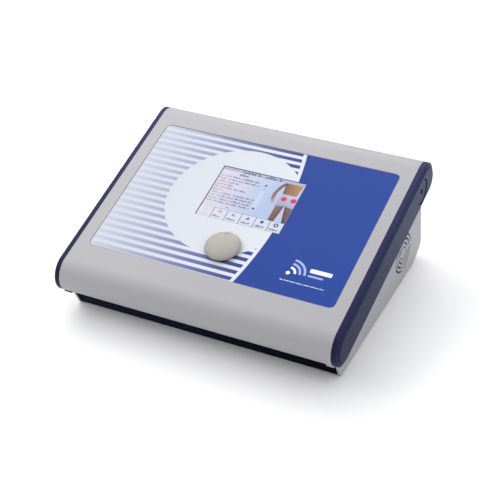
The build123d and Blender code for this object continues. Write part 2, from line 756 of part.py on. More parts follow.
# ---- rear panel and mains inlet
with BuildPart() as rear_panel:
    with BuildSketch(Plane.XZ.offset(-REAR_Y)):
        with Locations((0, 70)):
            Rectangle(2 * (BASE_HALF - WALL - 0.2), 120)
        with Locations((0, BASE_Z - 10)):
            Rectangle(400, 45.2, mode=Mode.SUBTRACT)
        with Locations((INLET_X, INLET_Z)):
            Rectangle(58.4, 28.4, mode=Mode.SUBTRACT)
        with Locations(*PANEL_SCREWS):
            Circle(1.7, mode=Mode.SUBTRACT)
        # outlet slots
        with Locations((104, 52)):
            with GridLocations(7.5, 1, 13, 1):
                SlotOverall(40, 3.2, rotation=90, mode=Mode.SUBTRACT)
    extrude(amount=1.5)
    add(console_space.part, mode=Mode.SUBTRACT)
save(rear_panel.part, "rear_panel")

with BuildPart() as rear_panel_screws:
    with BuildSketch(Plane.XZ.offset(-REAR_Y)):
        with Locations(*PANEL_SCREWS):
            Circle(2.9)
    extrude(amount=-1.9)
    with BuildSketch(Plane.XZ.offset(-REAR_Y)):
        with Locations(*PANEL_SCREWS):
            Circle(1.45)
    extrude(amount=7)
    with BuildSketch(Plane.XZ.offset(-REAR_Y - 1.9)):
        with Locations(*PANEL_SCREWS):
            Rectangle(0.8, 3.6)
            Rectangle(3.6, 0.8)
    extrude(amount=1.0, mode=Mode.SUBTRACT)
save(rear_panel_screws.part, "rear_panel_screws")

with BuildPart() as rating_plate:
    with BuildSketch(Plane.XZ.offset(-REAR_Y)):
        with Locations((10, 50)):
            RectangleRounded(72, 40, 2)
    extrude(amount=-0.4)
save(rating_plate.part, "rating_plate")

PLUG_X, DRAWER_X, ROCKER_X = INLET_X + 14.5, INLET_X - 7.0, INLET_X - 21.0
PLUG_HOLE = (25.0, 17.6, 17.0)
with BuildPart() as inlet_housing:
    with BuildSketch(Plane.XZ.offset(-REAR_Y)):
        with Locations((INLET_X, INLET_Z)):
            RectangleRounded(66, 36, 3)
    extrude(amount=-2.5)
    chamfer(faces().sort_by(Axis.Y)[-1].edges(), 0.8)
    with BuildSketch(Plane.XZ.offset(-REAR_Y)):
        with Locations((INLET_X, INLET_Z)):
            Rectangle(58, 28)
    extrude(amount=34)
    # appliance inlet recess with two cut corners
    with BuildSketch(Plane.XZ.offset(-REAR_Y - 2.5)):
        with Locations((PLUG_X, INLET_Z)):
            Rectangle(PLUG_HOLE[0], PLUG_HOLE[1])
        chamfer(vertices().group_by(Axis.Z)[-1], 4.5)
    extrude(amount=PLUG_HOLE[2] + 2.5, mode=Mode.SUBTRACT)
    # fuse drawer's slot
    with BuildSketch(Plane.XZ.offset(-REAR_Y - 2.5)):
        with Locations((DRAWER_X, INLET_Z)):
            Rectangle(11.0, 23.0)
    extrude(amount=31.0, mode=Mode.SUBTRACT)
    # rocker's well and its pivot holes
    with BuildSketch(Plane.XZ.offset(-REAR_Y - 2.5)):
        with Locations((ROCKER_X, INLET_Z)):
            Rectangle(12.0, 22.4)
    extrude(amount=14.0, mode=Mode.SUBTRACT)
    with BuildSketch(Plane.YZ.offset(ROCKER_X - 7.4)):
        with Locations((REAR_Y - 1.5, INLET_Z)):
            Circle(1.25)
    extrude(amount=14.8, mode=Mode.SUBTRACT)
    # ways for the three contact pins
    with BuildSketch(Plane.XZ.offset(-REAR_Y + PLUG_HOLE[2] - 1)):
        with Locations((PLUG_X - 7, INLET_Z - 2), (PLUG_X + 7, INLET_Z - 2), (PLUG_X, INLET_Z + 2)):
            Rectangle(2.0, 4.0)
    extrude(amount=20, mode=Mode.SUBTRACT)
save(inlet_housing.part, "inlet_housing")

with BuildPart() as inlet_pins:
    with BuildSketch(Plane.XZ.offset(-REAR_Y + 1.0)):
        with Locations((PLUG_X - 7, INLET_Z - 2), (PLUG_X + 7, INLET_Z - 2), (PLUG_X, INLET_Z + 2)):
            Rectangle(2.0, 4.0)
    extrude(amount=39)
save(inlet_pins.part, "inlet_pins")

with BuildPart() as fuse_drawer:
    with BuildSketch(Plane.XZ.offset(-REAR_Y - 1.2)):
        with Locations((DRAWER_X, INLET_Z)):
            RectangleRounded(10.4, 22.4, 0.5)
    extrude(amount=28.5)
    # finger lip
    with BuildSketch(Plane.XZ.offset(-REAR_Y - 1.2)):
        with Locations((DRAWER_X, INLET_Z + 8.2)):
            Rectangle(8.0, 3.0)
    extrude(amount=-2.4)
    # two fuse pockets, open to the side
    with BuildSketch(Plane.YZ.offset(DRAWER_X - 2.8)):
        with Locations((REAR_Y - 14.5, INLET_Z - 5.2), (REAR_Y - 14.5, INLET_Z + 5.2)):
            Rectangle(20.4, 5.6)
    extrude(amount=10, mode=Mode.SUBTRACT)
save(fuse_drawer.part, "fuse_drawer")

with BuildPart() as fuses:
    with BuildSketch(Plane.XZ.offset(-REAR_Y + 4.5)):
        with Locations((DRAWER_X, INLET_Z - 5.2), (DRAWER_X, INLET_Z + 5.2)):
            Circle(2.6)
    extrude(amount=20)
save(fuses.part, "fuses")

# rocker, drawn at rest with its lower half pressed in
ROCK_A = 8.0
RK = Plane(
    origin=(ROCKER_X, REAR_Y - 1.5, INLET_Z),
    x_dir=(0, cos(radians(ROCK_A)), sin(radians(ROCK_A))),
    z_dir=(1, 0, 0),
)
with BuildPart() as power_rocker:
    with BuildSketch(RK.offset(-5.6)):
        with BuildLine():
            Polyline(
                (-3.0, 0.0),
                (-2.0, -9.6),
                (5.6, -10.2),
                (4.2, 0.0),
                (5.6, 10.2),
                (-2.0, 9.6),
                close=True,
            )
        make_face()
    extrude(amount=11.2)
    fillet(edges().filter_by(Axis.X).group_by(Axis.Y)[-1], 0.6)
    with BuildSketch(RK.offset(-7.2)):
        Circle(1.2)
    extrude(amount=14.4)
save(power_rocker.part, "power_rocker")

# ---- fan behind the right grille
FAN_X = BASE_HALF - WALL - 0.3  # outer face of the fan's frame
FAN_T = 15.0
FANP = Plane(origin=(FAN_X, GRILLE_Y, GRILLE_Z), x_dir=(0, 1, 0), z_dir=(1, 0, 0))
with BuildPart() as fan_frame:
    with BuildSketch(FANP.offset(-FAN_T)):
        RectangleRounded(60, 60, 3.5)
        Circle(28.4, mode=Mode.SUBTRACT)
        with Locations(*STUDS):
            Circle(2.1, mode=Mode.SUBTRACT)
    extrude(amount=FAN_T)
    # motor seat on four arms, on the inner side
    with BuildSketch(FANP.offset(-FAN_T)):
        Circle(12.5)
        with PolarLocations(20.5, 4, 45):
            Rectangle(17.5, 3.2)
        Circle(1.55, mode=Mode.SUBTRACT)
    extrude(amount=2.2)
    with BuildSketch(FANP.offset(-FAN_T)):
        Circle(3.2)
        Circle(1.55, mode=Mode.SUBTRACT)
    extrude(amount=8.0)
save(fan_frame.part, "fan_frame")

with BuildPart() as fan_rotor:
    with BuildSketch(FANP.offset(-FAN_T + 3.0)):
        Circle(12.0)
    extrude(amount=10.5)
    with BuildSketch(FANP.offset(-FAN_T + 2.9)):
        Circle(10.8)
    extrude(amount=8.6, mode=Mode.SUBTRACT)
    with BuildSketch(FANP.offset(-FAN_T + 0.4)):
        Circle(1.5)
    extrude(amount=12.0)
    for k in range(7):
        a, w = radians(360 / 7 * k), radians(38)
        ca, sa = cos(a), sin(a)
        blade = Plane(
            origin=(FAN_X - FAN_T / 2 + 0.8, GRILLE_Y + 11.4 * ca, GRILLE_Z + 11.4 * sa),
            x_dir=(cos(w), -sa * sin(w), ca * sin(w)),
            z_dir=(0, ca, sa),
        )
        with BuildSketch(blade):
            Rectangle(11.0, 1.6)
        extrude(amount=15.2)
save(fan_rotor.part, "fan_rotor")

with BuildPart() as fan_screws:
    with BuildSketch(FANP.offset(-FAN_T)):
        with Locations(*STUDS):
            Circle(3.4)
    extrude(amount=-2.0)
    with BuildSketch(FANP.offset(-FAN_T - 0.5)):
        with Locations(*STUDS):
            Circle(0.95)
    extrude(amount=8.0)
save(fan_screws.part, "fan_screws")

# ================================================================ electronics in the base
DECK = BASE_Z + WALL
BOARD_Z = DECK + 8.0
with BuildPart() as board_posts:
    with BuildSketch(Plane.XY.offset(DECK)):
        with Locations(*PSU_POSTS, *GEN_POSTS):
            RegularPolygon(3.4, 6)
    extrude(amount=BOARD_Z - DECK)
save(board_posts.part, "board_posts")

with BuildPart() as power_supply_board:
    with BuildSketch(Plane.XY.offset(BOARD_Z)):
        with Locations((-115, 15)):
            RectangleRounded(96, 128, 2)
    extrude(amount=1.6)
save(power_supply_board.part, "power_supply_board")

with BuildPart() as generator_board:
    with BuildSketch(Plane.XY.offset(BOARD_Z)):
        with Locations((33, 19)):
            RectangleRounded(152, 136, 2)
    extrude(amount=1.6)
save(generator_board.part, "generator_board")

TOP_Z = BOARD_Z + 1.6
with BuildPart() as mains_transformer:
    with BuildSketch(Plane.XY.offset(TOP_Z)):
        with Locations((-128, 28)):
            RectangleRounded(44, 38, 2)
    extrude(amount=34)
    # winding, standing proud of the core on both sides
    with BuildSketch(Plane.XY.offset(TOP_Z + 5)):
        with Locations((-128, 28)):
            RectangleRounded(28, 50, 6)
    extrude(amount=24)
save(mains_transformer.part, "mains_transformer")

with BuildPart() as bulk_capacitors:
    for (cx, cy), r, h in (
        ((-90, 50), 9.0, 28.0),
        ((-90, 28), 9.0, 28.0),
        ((-150, -20), 6.0, 18.0),
        ((-136, -20), 6.0, 18.0),
    ):
        with BuildSketch(Plane.XY.offset(TOP_Z)):
            with Locations((cx, cy)):
                Circle(r)
        extrude(amount=h)
save(bulk_capacitors.part, "bulk_capacitors")

with BuildPart() as supply_heatsink:
    with BuildSketch(Plane.XY.offset(TOP_Z)):
        with Locations((-100, -22)):
            Rectangle(40, 3)
        for k in range(6):
            with Locations((-118 + 7.2 * k, -28)):
                Rectangle(1.6, 10)
    extrude(amount=24)
save(supply_heatsink.part, "supply_heatsink")

with BuildPart() as generator_heatsink:
    with BuildSketch(Plane.XZ.offset(-62)):
        with Locations((16, TOP_Z + 4.1)):
            Rectangle(84, 3.2)
        for k in range(13):
            with Locations((-24 + 6.65 * k, TOP_Z + 16.5)):
                Rectangle(1.6, 22)
    extrude(amount=46)
save(generator_heatsink.part, "generator_heatsink")

with BuildPart() as power_transistors:
    with BuildSketch(Plane.XY.offset(TOP_Z)):
        with Locations((-8, 24), (16, 24), (40, 24), (-8, 52), (16, 52), (40, 52)):
            Rectangle(10, 9)
    extrude(amount=2.5)
save(power_transistors.part, "power_transistors")

with BuildPart() as output_coils:
    for cx, cy in ((88, 2), (88, 36)):
        with BuildSketch(Plane.XY.offset(TOP_Z + 0.6)):
            with Locations((cx, cy)):
                Circle(13.0)
                Circle(6.0, mode=Mode.SUBTRACT)
        extrude(amount=11.0)
    chamfer(edges().group_by(Axis.Z)[-1], 2.2)
    chamfer(edges().group_by(Axis.Z)[0], 0.5)
save(output_coils.part, "output_coils")

with BuildPart() as output_terminals:
    for (cx, cy), (lx, ly), h in (
        ((86, 72), (14, 10), 9.0),
        ((-30, -38), (20, 8), 9.0),
        ((40, -36), (44, 8), 7.0),
    ):
        with BuildSketch(Plane.XY.offset(TOP_Z)):
            with Locations((cx, cy)):
                Rectangle(lx, ly)
        extrude(amount=h)
save(output_terminals.part, "output_terminals")


# ---- leads held inside the case
def tube(path_points, radii, r):
    with BuildPart() as lead:
        with BuildLine() as path:
            FilletPolyline(*path_points, radius=radii)
        with BuildSketch(Plane(origin=path.line @ 0, z_dir=path.line % 0)):
            Circle(r)
        sweep()
    return lead.part


SOCK = world(CAP_FACE - 29.6, SOCKET_V, SOCKET_N)
handpiece_lead = tube(
    [
        (86.0, 72.0, TOP_Z + 9.1),
        (86.0, 72.0, TOP_Z + 34.0),
        (124.0, 84.0, 92.0),
        (132.0, SOCK[1], SOCK[2]),
        SOCK,
    ],
    [10.0, 16.0, 12.0],
    2.1,
)
save(handpiece_lead, "handpiece_lead")

wires = []
for k, dx in enumerate((-7.0, 0.0, 7.0)):
    zz = INLET_Z + (2.0 if dx == 0 else -2.0)
    wires.append(
        tube(
            [
                (PLUG_X + dx, REAR_Y - 40.1, zz),
                (PLUG_X + dx, REAR_Y - 57.0 - 1.5 * k, zz),
                (PLUG_X + dx, REAR_Y - 57.0 - 1.5 * k, TOP_Z + 0.1),
            ],
            [6.0],
            1.4,
        )
    )
with BuildPart() as mains_wires:
    for wire in wires:
        add(wire)
save(mains_wires.part, "mains_wires")

DC0 = world(-88.0, 24.0, MB_N + 1.6 + 9.5)
dc_cable = tube(
    [
        (-100.0, 2.0, TOP_Z + 0.1),
        (-100.0, 2.0, TOP_Z + 32.0),
        (-118.0, 24.0, 84.0),
        (-110.0, DC0[1] - 3.0, DC0[2] + 10.0),
        (DC0[0], DC0[1] - 2.4, DC0[2] + 10.0),
        DC0,
    ],
    [9.0, 9.0, 8.0, 4.0],
    2.0,
)
save(dc_cable, "dc_cable")

print("handpiece lead radii 10, 16, 12; mains 6; dc 9, 9, 8, 4")
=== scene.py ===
import json
import math

import bmesh
import bpy
from mathutils import Matrix, Vector


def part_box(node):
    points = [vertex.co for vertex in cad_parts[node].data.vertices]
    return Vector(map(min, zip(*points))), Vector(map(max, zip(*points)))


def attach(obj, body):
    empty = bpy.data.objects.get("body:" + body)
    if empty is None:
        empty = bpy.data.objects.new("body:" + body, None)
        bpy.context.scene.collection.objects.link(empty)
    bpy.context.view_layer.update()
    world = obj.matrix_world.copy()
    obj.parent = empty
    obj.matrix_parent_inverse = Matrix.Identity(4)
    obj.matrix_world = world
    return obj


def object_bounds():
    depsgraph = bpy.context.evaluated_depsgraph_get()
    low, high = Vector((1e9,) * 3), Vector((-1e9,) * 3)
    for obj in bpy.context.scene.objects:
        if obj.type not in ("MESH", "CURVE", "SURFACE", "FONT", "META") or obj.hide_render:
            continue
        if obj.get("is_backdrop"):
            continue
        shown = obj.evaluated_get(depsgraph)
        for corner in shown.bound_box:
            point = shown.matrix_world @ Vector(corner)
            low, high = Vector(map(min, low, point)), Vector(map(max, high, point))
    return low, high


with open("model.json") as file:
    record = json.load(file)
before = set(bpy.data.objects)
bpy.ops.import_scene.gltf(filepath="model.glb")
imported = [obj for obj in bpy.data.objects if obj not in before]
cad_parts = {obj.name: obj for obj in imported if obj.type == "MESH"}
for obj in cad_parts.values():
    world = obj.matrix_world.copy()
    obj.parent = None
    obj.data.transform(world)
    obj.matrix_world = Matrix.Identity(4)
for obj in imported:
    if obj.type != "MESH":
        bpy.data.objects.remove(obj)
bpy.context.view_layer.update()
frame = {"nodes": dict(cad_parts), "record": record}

scene = bpy.context.scene
record = frame["record"]
nodes = frame["nodes"]

# ------------------------------------------------------------------ the panel's own frame
# x to the right, v up the slope, n out of the panel; all in metres from the overlay's middle.
TILT = math.radians(14.33)
C, S = math.cos(TILT), math.sin(TILT)
N = Vector((0.0, -S, C))
V = Vector((0.0, C, S))
lo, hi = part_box("front_overlay")
O = (lo + hi) / 2 + 0.0007 * N


def P(x, v, n=0.0):
    """Panel millimetres to the frame, in metres."""
    return O + Vector((x / 1000, 0, 0)) + V * (v / 1000) + N * (n / 1000)


# ------------------------------------------------------------------ light levels
SKY_LOW, SKY_RIGHT, SKY_TOP = 0.02, 0.56, 1.13

# ------------------------------------------------------------------ camera
az, el, roll = math.radians(28.01), math.radians(35.96), math.radians(-3.04)
back = Vector((math.sin(az) * math.cos(el), -math.cos(az) * math.cos(el), math.sin(el)))
right = Vector((math.cos(az), math.sin(az), 0.0))
up = back.cross(right)
cr, sr = math.cos(roll), math.sin(roll)
r2 = cr * right + sr * up
u2 = -sr * right + cr * up
cam_data = bpy.data.cameras.new("camera")
cam_data.sensor_width = 36.0
cam_data.lens = 92.12
cam_data.dof.use_dof = False
cam_data.clip_start, cam_data.clip_end = 0.05, 50
cam = bpy.data.objects.new("camera", cam_data)
scene.collection.objects.link(cam)
m = Matrix((r2, u2, back)).transposed().to_4x4()
m.translation = O + Vector((0.62083, -1.15814, 0.89072))
cam.matrix_world = m
scene.camera = cam


# ------------------------------------------------------------------ material kit
def srgb(r, g, b, a=1.0):
    """0..255 screen values to linear."""
    out = []
    for c in (r, g, b):
        c = c / 255
        out.append(c / 12.92 if c <= 0.04045 else ((c + 0.055) / 1.055) ** 2.4)
    return (*out, a)


class Tree:
    def __init__(self, name):
        self.mat = bpy.data.materials.new(name)
        self.mat.use_nodes = True
        self.nt = self.mat.node_tree
        self.nt.nodes.clear()
        self.out = self.node("ShaderNodeOutputMaterial")
        self.bsdf = self.node("ShaderNodeBsdfPrincipled")
        self.nt.links.new(self.bsdf.outputs["BSDF"], self.out.inputs["Surface"])
        self._co = None

    def node(self, kind, **props):
        n = self.nt.nodes.new(kind)
        for k, v in props.items():
            setattr(n, k, v)
        return n

    def put(self, socket, value):
        if hasattr(value, "is_output"):
            self.nt.links.new(value, socket)
        else:
            socket.default_value = value

    @property
    def co(self):
        if self._co is None:
            self._co = self.node("ShaderNodeTexCoord").outputs["Object"]
        return self._co

    def m(self, op, a, b=None, c=None, clamp=False):
        n = self.node("ShaderNodeMath", operation=op, use_clamp=clamp)
        self.put(n.inputs[0], a)
        if b is not None:
            self.put(n.inputs[1], b)
        if c is not None:
            self.put(n.inputs[2], c)
        return n.outputs[0]

    def dot(self, vec, const):
        n = self.node("ShaderNodeVectorMath", operation="DOT_PRODUCT")
        self.put(n.inputs[0], vec)
        self.put(n.inputs[1], const)
        return n.outputs["Value"]

    def sub(self, vec, const):
        n = self.node("ShaderNodeVectorMath", operation="SUBTRACT")
        self.put(n.inputs[0], vec)
        self.put(n.inputs[1], const)
        return n.outputs[0]

    def scaled(self, vec, const):
        n = self.node("ShaderNodeVectorMath", operation="MULTIPLY")
        self.put(n.inputs[0], vec)
        self.put(n.inputs[1], const)
        return n.outputs[0]

    def noise(self, scale, detail=3.0, rough=0.5, vec=None, lac=2.0):
        n = self.node("ShaderNodeTexNoise", noise_dimensions="3D")
        self.put(n.inputs["Vector"], vec if vec is not None else self.co)
        n.inputs["Scale"].default_value = scale
        n.inputs["Detail"].default_value = detail
        n.inputs["Roughness"].default_value = rough
        n.inputs["Lacunarity"].default_value = lac
        return n.outputs["Fac"] if "Fac" in n.outputs else n.outputs[0]

    def span(self, value, a, b, c, d, smooth=False):
        n = self.node("ShaderNodeMapRange", clamp=True)
        if smooth:
            n.interpolation_type = "SMOOTHSTEP"
        self.put(n.inputs["Value"], value)
        for key, val in (("From Min", a), ("From Max", b), ("To Min", c), ("To Max", d)):
            self.put(n.inputs[key], val)
        return n.outputs["Result"]

    def mix(self, f, a, b, blend="MIX"):
        n = self.node("ShaderNodeMix", data_type="RGBA", blend_type=blend)
        self.put(n.inputs[0], f)
        self.put(n.inputs[6], a)
        self.put(n.inputs[7], b)
        return n.outputs[2]

    def bevel(self, radius, samples=4):
        n = self.node("ShaderNodeBevel", samples=samples)
        n.inputs["Radius"].default_value = radius
        return n.outputs[0]

    def edge(self, bevel, low=0.80, high=0.985):
        """1 at sharp edges, 0 on open faces."""
        geo = self.node("ShaderNodeNewGeometry").outputs["True Normal"]
        n = self.node("ShaderNodeVectorMath", operation="DOT_PRODUCT")
        self.put(n.inputs[0], bevel)
        self.put(n.inputs[1], geo)
        return self.span(n.outputs["Value"], high, low, 0.0, 1.0)

    def bump(self, height, strength, distance, normal=None):
        n = self.node("ShaderNodeBump")
        n.inputs["Strength"].default_value = strength
        n.inputs["Distance"].default_value = distance
        self.put(n.inputs["Height"], height)
        if normal is not None:
            self.put(n.inputs["Normal"], normal)
        return n.outputs[0]


def lighter(c, k):
    return (*(min(1.0, x * k) for x in c[:3]), 1.0)


def plastic(name, colour, rough=0.42, grain_mm=0.55, grain=0.12, mottle=0.03, edge=0.10, edge_r=0.0004,
            coat=0.0, spec=0.5, dust=0.0, coat_rough=0.15, zone=None):
    """Moulded plastic: spark-eroded grain, faint flow mottling, paler rubbed edges."""
    t = Tree(name)
    t.bsdf.inputs["Specular IOR Level"].default_value = spec
    t.bsdf.inputs["Coat Weight"].default_value = coat
    t.bsdf.inputs["Coat Roughness"].default_value = coat_rough
    big = t.noise(14.0, 4.0, 0.55)
    mid = t.noise(160.0, 3.0, 0.6)
    tone = t.m("ADD", t.m("MULTIPLY", big, 0.6), t.m("MULTIPLY", mid, 0.4))
    body = t.mix(t.span(tone, 0.3, 0.7, 0.0, 1.0), lighter(colour, 1 - mottle), lighter(colour, 1 + mottle))
    bev = t.bevel(edge_r)
    if edge:
        worn = t.m("MULTIPLY", t.edge(bev), t.span(t.noise(420.0, 4.0, 0.6), 0.38, 0.62, 0.35, 1.0))
        body = t.mix(t.m("MULTIPLY", worn, edge * 3), body, lighter(colour, 1.35))
    if dust:
        body = t.mix(t.span(t.noise(900.0, 5.0, 0.7), 0.62, 0.78, 0.0, dust), body, srgb(190, 188, 182))
    if zone:
        body = zone(t, body)
    t.put(t.bsdf.inputs["Base Color"], body)
    fine = t.noise(1000.0 / grain_mm, 2.0, 0.6)
    t.put(t.bsdf.inputs["Roughness"], t.m("ADD", t.span(mid, 0.3, 0.7, rough - 0.035, rough + 0.035),
                                          t.span(fine, 0.3, 0.7, -0.03, 0.03)))
    t.put(t.bsdf.inputs["Normal"], t.bump(fine, grain, 0.00008, bev))
    return t.mat


def metal(name, colour, rough=0.35, brushed=(1.0, 1.0, 1.0), scale=900.0, depth=0.15, tarnish=0.12, aniso=0.0):
    t = Tree(name)
    t.bsdf.inputs["Metallic"].default_value = 1.0
    t.bsdf.inputs["Anisotropic"].default_value = aniso
    fine = t.noise(scale, 3.0, 0.6, t.scaled(t.co, brushed))
    cloud = t.noise(55.0, 4.0, 0.6)
    bev = t.bevel(0.0002)
    col = t.mix(t.span(cloud, 0.35, 0.7, 0.0, 1.0), colour, lighter(colour, 1 - tarnish))
    col = t.mix(t.m("MULTIPLY", t.edge(bev), 0.5), col, lighter(colour, 1.25))
    t.put(t.bsdf.inputs["Base Color"], col)
    t.put(t.bsdf.inputs["Roughness"], t.m("ADD", t.span(fine, 0.3, 0.7, rough - 0.07, rough + 0.07),
                                          t.span(cloud, 0.3, 0.7, -0.04, 0.06)))
    t.put(t.bsdf.inputs["Normal"], t.bump(fine, depth, 0.00004, bev))
    return t.mat


def panel_coords(t):
    """(x, v) in millimetres on the panel, from the object's own coordinates."""
    rel = t.sub(t.co, tuple(O))
    x = t.dot(rel, (1000.0, 0.0, 0.0))
    v = t.dot(rel, tuple(V * 1000))
    return x, v


def band(t, value, soft):
    """Signed distance in mm (positive inside) to a soft 0..1 mask."""
    return t.span(value, -soft, soft, 0.0, 1.0)


def inner_wall_painted_shade(t, body):
    """Painted shade: the inner faces of the base's side walls are darkened, where they lie in shadow."""
    x = t.m("ABSOLUTE", t.dot(t.co, (1000.0, 0.0, 0.0)))
    face = t.m("ABSOLUTE", t.dot(t.node("ShaderNodeNewGeometry").outputs["True Normal"], (1.0, 0.0, 0.0)))
    mask = t.m("MULTIPLY", t.m("LESS_THAN", x, 178.4), t.m("GREATER_THAN", face, 0.5))
    return t.mix(mask, body, srgb(44, 43, 42))


def left_lug_painted_shade(t, body):
    """Painted shade: the left lug's underside is darkened, where it lies in shadow."""
    rel = t.sub(t.co, tuple(O))
    n = t.dot(rel, tuple(N * 1000))
    x = t.dot(rel, (1000.0, 0.0, 0.0))
    y = t.m("ADD", t.dot(rel, tuple(V * 1000)), 140.0)
    z = t.m("ADD", n, 24.5)
    far = t.m("SQRT", t.m("ADD", t.m("MULTIPLY", y, y), t.m("MULTIPLY", z, z)))
    mask = t.m("MULTIPLY", t.m("MULTIPLY", t.m("GREATER_THAN", far, 24.58), t.m("LESS_THAN", y, 3.0)), t.m("LESS_THAN", x, 0.0))
    return t.mix(t.m("MULTIPLY", mask, t.m("LESS_THAN", z, 0.0)), body, srgb(52, 51, 46))


def cap_painted_shading(t, body):
    """Painted light and shade: the navy is darker towards the front and lighter towards the rear, as the light falls on
    the caps.
    """
    v = t.dot(t.sub(t.co, tuple(O)), tuple(V * 1000))
    tint = t.node("ShaderNodeCombineColor")
    for k in range(3):
        t.put(tint.inputs[k], t.span(v, -160.0, 150.0, (0.57, 0.57, 0.66)[k], (1.16, 1.16, 1.20)[k]))
    return t.mix(1.0, body, tint.outputs[0], "MULTIPLY")


def strip_painted_shading(t, body):
    """Painted light and shade: the strip's navy is lighter at its left end and darker towards its right end, where it
    lies in shadow.
    """
    x = t.dot(t.co, (1000.0, 0.0, 0.0))
    tint = t.node("ShaderNodeCombineColor")
    for k in range(3):
        t.put(tint.inputs[k], t.span(x, -170.0, 170.0, (1.35, 1.35, 1.25)[k], (0.45, 0.42, 0.30)[k]))
    return t.mix(1.0, body, tint.outputs[0], "MULTIPLY")


# light on the panel at its left and right ends and its foot and top, for ink that reads evenly
LIT_X = (1.50, 1.18)
LIT_V = (0.98, 1.03)


def even(t, x, v, col):
    """Painted shade: the print is darkened where the panel is lit more strongly, so that it reads evenly."""
    gain = t.m("MULTIPLY", t.span(x, -165.0, 165.0, 1 / LIT_X[0], 1 / LIT_X[1]), t.span(v, -110.0, 110.0, 1 / LIT_V[0], 1 / LIT_V[1]))
    tint = t.node("ShaderNodeCombineColor")
    for k in range(3):
        t.put(tint.inputs[k], gain)
    return t.mix(1.0, col, tint.outputs[0], "MULTIPLY")


def overlay_material():
    """Printed polyester film: stripes that fade in from the left, a pale disc, a blue field."""
    t = Tree("overlay_print")
    x, v = panel_coords(t)
    t.bsdf.inputs["Specular IOR Level"].default_value = 0.08
    # the stripes' ink: almost nothing at the left, deep violet-blue beside the white arc
    pale = srgb(*INK["paper"])
    ink = t.node("ShaderNodeValToRGB")
    ink.color_ramp.interpolation = "LINEAR"
    stops = INK["stripes"]
    ink.color_ramp.elements[0].position = (stops[0][0] + 165) / 215
    ink.color_ramp.elements[0].color = srgb(*stops[0][1])
    ink.color_ramp.elements[1].position = (stops[-1][0] + 165) / 215
    ink.color_ramp.elements[1].color = srgb(*stops[-1][1])
    for px, rgb in stops[1:-1]:
        e = ink.color_ramp.elements.new((px + 165) / 215)
        e.color = srgb(*rgb)
    t.put(ink.inputs[0], t.span(x, -165.0, 50.0, 0.0, 1.0))
    # white bands 5.2 mm tall on a 10.72 mm pitch, with edges that are soft at the left
    phase = t.m("WRAP", t.m("ADD", v, 100.7), 5.36, -5.36)
    dist = t.m("SUBTRACT", 2.55, t.m("ABSOLUTE", phase))
    soft = t.span(x, -165.0, -20.0, 3.0, 0.30)
    white = t.m("DIVIDE", t.m("ADD", dist, soft), t.m("MULTIPLY", soft, 2.0), clamp=True)
    col = t.mix(white, ink.outputs[0], pale)
    # the disc
    dx, dv = t.m("ADD", x, 20.0), t.m("SUBTRACT", v, 9.5)
    disc = t.m("SUBTRACT", 87.8, t.m("SQRT", t.m("ADD", t.m("MULTIPLY", dx, dx), t.m("MULTIPLY", dv, dv))))
    col = t.mix(band(t, disc, 0.2), col, srgb(*INK["disc"]))
    # the blue field beyond a wide arc, and the white line beside it
    ax, av = t.m("ADD", x, 422.0), t.m("SUBTRACT", v, 5.0)
    far = t.m("SQRT", t.m("ADD", t.m("MULTIPLY", ax, ax), t.m("MULTIPLY", av, av)))
    col = t.mix(band(t, t.m("SUBTRACT", far, 467.2), 0.2), col, pale)
    grainy = t.noise(700.0, 3.0, 0.6)
    deep = srgb(*INK["blue"])
    field = t.mix(t.span(grainy, 0.3, 0.7, 0.0, 1.0), lighter(deep, 0.97), lighter(deep, 1.03))
    col = t.mix(band(t, t.m("SUBTRACT", far, 472.0), 0.2), col, field)
    # a darker band along the film's outer edge, and faint pale wear
    ex = t.m("SUBTRACT", t.m("ABSOLUTE", x), 164.45)
    ev = t.m("SUBTRACT", t.m("ABSOLUTE", v), 109.65)
    rim = t.m("MAXIMUM", ex, ev)
    col = t.mix(t.m("MULTIPLY", band(t, rim, 0.15), 0.55), col, srgb(120, 124, 150))
    wear = t.span(t.noise(38.0, 5.0, 0.65), 0.58, 0.8, 0.0, 0.012)
    col = t.mix(wear, col, srgb(225, 225, 228))
    # the print carries painted shade against the uneven light on the panel
    t.put(t.bsdf.inputs["Base Color"], even(t, x, v, col))
    scuff = t.noise(60.0, 5.0, 0.7)
    fine = t.noise(2600.0, 2.0, 0.5)
    t.put(t.bsdf.inputs["Roughness"], t.m("ADD", t.span(scuff, 0.35, 0.75, 0.40, 0.48), t.span(fine, 0.3, 0.7, -0.03, 0.03)))
    t.put(t.bsdf.inputs["Normal"], t.bump(fine, 0.05, 0.00003, t.bevel(0.00015)))
    return t.mat


def board_material(name, green=(22, 92, 58)):
    """Solder-resist green with a lattice of tracks and pads."""
    t = Tree(name)
    base = srgb(*green)
    brick = t.node("ShaderNodeTexBrick")
    t.put(brick.inputs["Vector"], t.scaled(t.co, (1.0, 1.0, 1.0)))
    brick.inputs["Scale"].default_value = 90.0
    brick.inputs["Mortar Size"].default_value = 0.03
    brick.inputs["Color1"].default_value = base
    brick.inputs["Color2"].default_value = lighter(base, 0.85)
    brick.inputs["Mortar"].default_value = lighter(base, 1.9)
    cloud = t.noise(240.0, 3.0, 0.6)
    col = t.mix(t.span(cloud, 0.35, 0.65, 0.0, 0.35), brick.outputs["Color"], lighter(base, 0.6))
    pads = t.node("ShaderNodeTexVoronoi")
    t.put(pads.inputs["Vector"], t.co)
    pads.inputs["Scale"].default_value = 210.0
    col = t.mix(t.span(pads.outputs["Distance"], 0.12, 0.09, 0.0, 1.0), col, srgb(205, 200, 180))
    t.put(t.bsdf.inputs["Base Color"], col)
    t.put(t.bsdf.inputs["Roughness"], t.span(cloud, 0.3, 0.7, 0.28, 0.42))
    t.put(t.bsdf.inputs["Normal"], t.bump(brick.outputs["Fac"], 0.25, 0.00005, t.bevel(0.0002)))
    return t.mat


